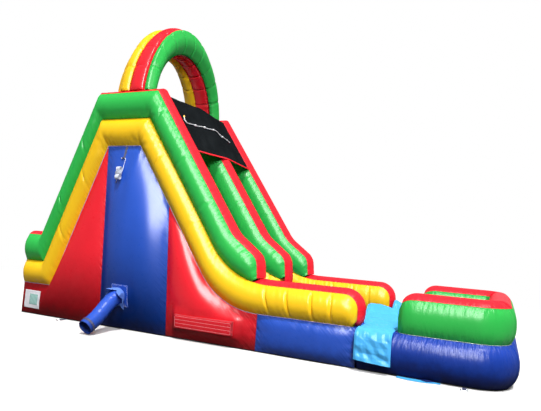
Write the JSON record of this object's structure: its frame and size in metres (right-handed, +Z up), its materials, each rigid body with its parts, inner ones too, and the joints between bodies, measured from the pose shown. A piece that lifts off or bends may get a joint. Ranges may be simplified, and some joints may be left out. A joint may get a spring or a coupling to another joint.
{
  "type": "inflatable water slide",
  "caption": "Inflatable water slide with a rear climb between walls, an arch over the deck, divided lanes under a shade net, a curved runout and a splash pool.",
  "frame": {"origin": "on the ground plane at the slide's mid width, straight below the middle of the deck", "axes": "+X down the slide towards the pool, +Y to the rider's left, +Z up"},
  "size_m": [8.2414, 3.5814, 5.5819],
  "materials": {
    "green_vinyl": "glossy vinyl-coated fabric, green",
    "yellow_vinyl": "glossy vinyl-coated fabric, yellow",
    "red_vinyl": "glossy vinyl-coated fabric, red",
    "blue_vinyl": "glossy vinyl-coated fabric, royal blue",
    "light_blue_vinyl": "thin glossy vinyl, light blue",
    "shade_mesh": "open woven shade mesh, black",
    "navy_webbing": "woven webbing, navy",
    "white_rope": "braided rope, off-white",
    "hose_plastic": "flexible plastic hose, white",
    "galvanised_steel": "galvanised steel",
    "pocket_vinyl": "pale vinyl-coated fabric",
    "ground_vinyl": "heavy matt vinyl-coated fabric, black",
    "brass": "machined brass"
  },
  "bodies": {
    "slide": {"arch_green_tube": "green_vinyl", "arch_red_tube": "red_vinyl", "arch_yellow_tube": "yellow_vinyl", "climb_ramp": "blue_vinyl", "climbing_rungs": "yellow_vinyl", "deck_platform": "blue_vinyl", "divider_cap": "red_vinyl", "divider_lower_tube": "yellow_vinyl", "divider_upper_tube": "green_vinyl", "document_pocket": "pocket_vinyl", "front_baffle": "blue_vinyl", "ground_apron": "light_blue_vinyl", "ground_sheet": "ground_vinyl", "inflation_sleeve": "blue_vinyl", "left_base_panel": "blue_vinyl", "left_centre_panel": "blue_vinyl", "left_front_anchor_strap": "navy_webbing", "left_front_panel": "red_vinyl", "left_lower_tube": "yellow_vinyl", "left_rear_anchor_strap": "navy_webbing", "left_rear_panel": "red_vinyl", "left_runout_cap": "red_vinyl", "left_tether_strap": "navy_webbing", "left_upper_tube": "green_vinyl", "left_wall_cap": "red_vinyl", "net_hem": "red_vinyl", "pool_base_tube": "blue_vinyl", "pool_floor": "ground_vinyl", "pool_wall_cap": "red_vinyl", "pool_wall_tube": "green_vinyl", "rear_baffle": "blue_vinyl", "right_base_panel": "blue_vinyl", "right_centre_panel": "blue_vinyl", "right_front_anchor_strap": "navy_webbing", "right_front_panel": "red_vinyl", "right_lower_tube": "yellow_vinyl", "right_rear_anchor_strap": "navy_webbing", "right_rear_panel": "red_vinyl", "right_runout_cap": "red_vinyl", "right_tether_strap": "navy_webbing", "right_upper_tube": "green_vinyl", "right_wall_cap": "red_vinyl", "rope_end_knot": "navy_webbing", "shade_net": "shade_mesh", "sleeve_collar": "light_blue_vinyl", "sleeve_patch": "blue_vinyl", "sleeve_strap": "navy_webbing", "slide_bed": "blue_vinyl", "splash_sheet": "light_blue_vinyl", "spray_hose": "hose_plastic", "tether_hank": "white_rope", "tether_rope": "white_rope", "zip_tape": "navy_webbing"},
    "right_rear_anchor_ring": {"right_rear_anchor_ring": "galvanised_steel"},
    "right_front_anchor_ring": {"right_front_anchor_ring": "galvanised_steel"},
    "left_rear_anchor_ring": {"left_rear_anchor_ring": "galvanised_steel"},
    "left_front_anchor_ring": {"left_front_anchor_ring": "galvanised_steel"},
    "hose_coupling": {"hose_coupling": "brass"},
    "zip_slider": {"zip_slider": "galvanised_steel"},
    "zip_flap": {"zip_flap": "red_vinyl"}
  },
  "joints": [
    {"name": "right_rear_ring_hinge", "type": "hinge", "parent": "slide", "child": "right_rear_anchor_ring", "pos_m": [-0.915, -1.366, 0.0096], "axis": [-1, 0, 0], "range_deg": [0, 150]},
    {"name": "right_front_ring_hinge", "type": "hinge", "parent": "slide", "child": "right_front_anchor_ring", "pos_m": [5.62, -1.366, 0.0096], "axis": [-1, 0, 0], "range_deg": [0, 150]},
    {"name": "left_rear_ring_hinge", "type": "hinge", "parent": "slide", "child": "left_rear_anchor_ring", "pos_m": [-0.915, 1.366, 0.0096], "axis": [1, 0, 0], "range_deg": [0, 150]},
    {"name": "left_front_ring_hinge", "type": "hinge", "parent": "slide", "child": "left_front_anchor_ring", "pos_m": [5.62, 1.366, 0.0096], "axis": [1, 0, 0], "range_deg": [0, 150]},
    {"name": "hose_coupling_swivel", "type": "hinge", "parent": "slide", "child": "hose_coupling", "pos_m": [0.9212, -0.8449, 3.632], "axis": [-0.4507, 0.4886, 0.7471], "continuous": true},
    {"name": "zip_slider_run", "type": "slide", "parent": "slide", "child": "zip_slider", "axis": [1, 0, 0], "range_m": [0, 0.92]},
    {"name": "zip_flap_hinge", "type": "hinge", "parent": "slide", "child": "zip_flap", "pos_m": [1.92, -1.38343, 0.38674], "axis": [-1, 0, 0], "range_deg": [0, 100]}
  ]
}
